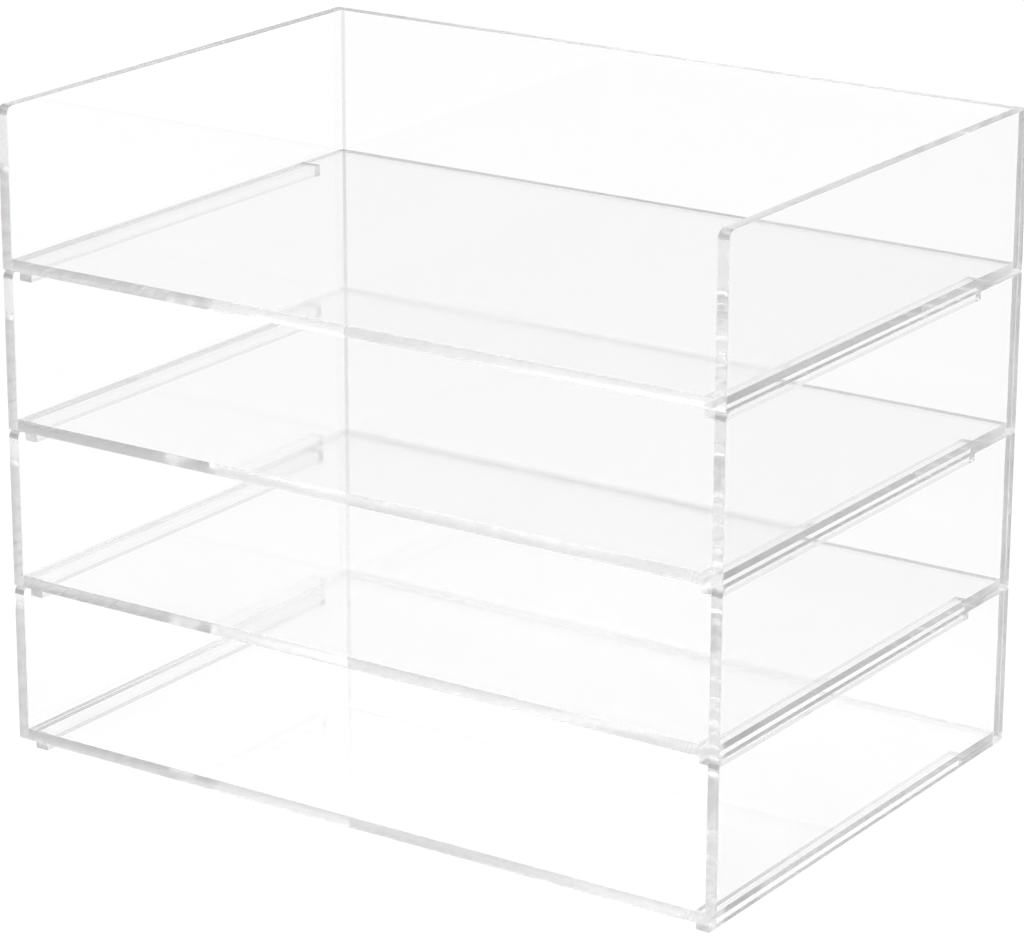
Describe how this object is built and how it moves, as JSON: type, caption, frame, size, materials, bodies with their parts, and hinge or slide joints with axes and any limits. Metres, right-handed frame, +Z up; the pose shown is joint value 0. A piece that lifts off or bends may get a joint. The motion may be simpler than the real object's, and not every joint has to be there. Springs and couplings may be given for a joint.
{
  "type": "letter tray stack",
  "caption": "Free-standing stack of clear acrylic letter trays, open at the front, which nest on runners and lift off one by one.",
  "frame": {"origin": "middle of the footprint, on the surface that the stack stands on", "axes": "+X across the open front, to the right as seen from in front; +Y from the open front to the back; +Z up"},
  "size_m": [0.335, 0.226, 0.2708],
  "materials": {
    "clear_acrylic": "clear cast acrylic sheet, glossy faces and flame-polished edges"
  },
  "bodies": {
    "bottom_tray": {"bottom_tray_base": "clear_acrylic", "bottom_tray_back": "clear_acrylic", "bottom_tray_left_side": "clear_acrylic", "bottom_tray_right_side": "clear_acrylic", "bottom_tray_left_runner": "clear_acrylic", "bottom_tray_right_runner": "clear_acrylic"},
    "second_tray": {"second_tray_base": "clear_acrylic", "second_tray_back": "clear_acrylic", "second_tray_left_side": "clear_acrylic", "second_tray_right_side": "clear_acrylic", "second_tray_left_runner": "clear_acrylic", "second_tray_right_runner": "clear_acrylic"},
    "third_tray": {"third_tray_base": "clear_acrylic", "third_tray_back": "clear_acrylic", "third_tray_left_side": "clear_acrylic", "third_tray_right_side": "clear_acrylic", "third_tray_left_runner": "clear_acrylic", "third_tray_right_runner": "clear_acrylic"},
    "top_tray": {"top_tray_base": "clear_acrylic", "top_tray_back": "clear_acrylic", "top_tray_left_side": "clear_acrylic", "top_tray_right_side": "clear_acrylic", "top_tray_left_runner": "clear_acrylic", "top_tray_right_runner": "clear_acrylic"}
  },
  "joints": [
    {"name": "second_tray_lift", "type": "slide", "parent": "bottom_tray", "child": "second_tray", "axis": [0, 0, 1], "range_m": [0, 0.04]},
    {"name": "third_tray_lift", "type": "slide", "parent": "second_tray", "child": "third_tray", "axis": [0, 0, 1], "range_m": [0, 0.04]},
    {"name": "top_tray_lift", "type": "slide", "parent": "third_tray", "child": "top_tray", "axis": [0, 0, 1], "range_m": [0, 0.04]}
  ]
}
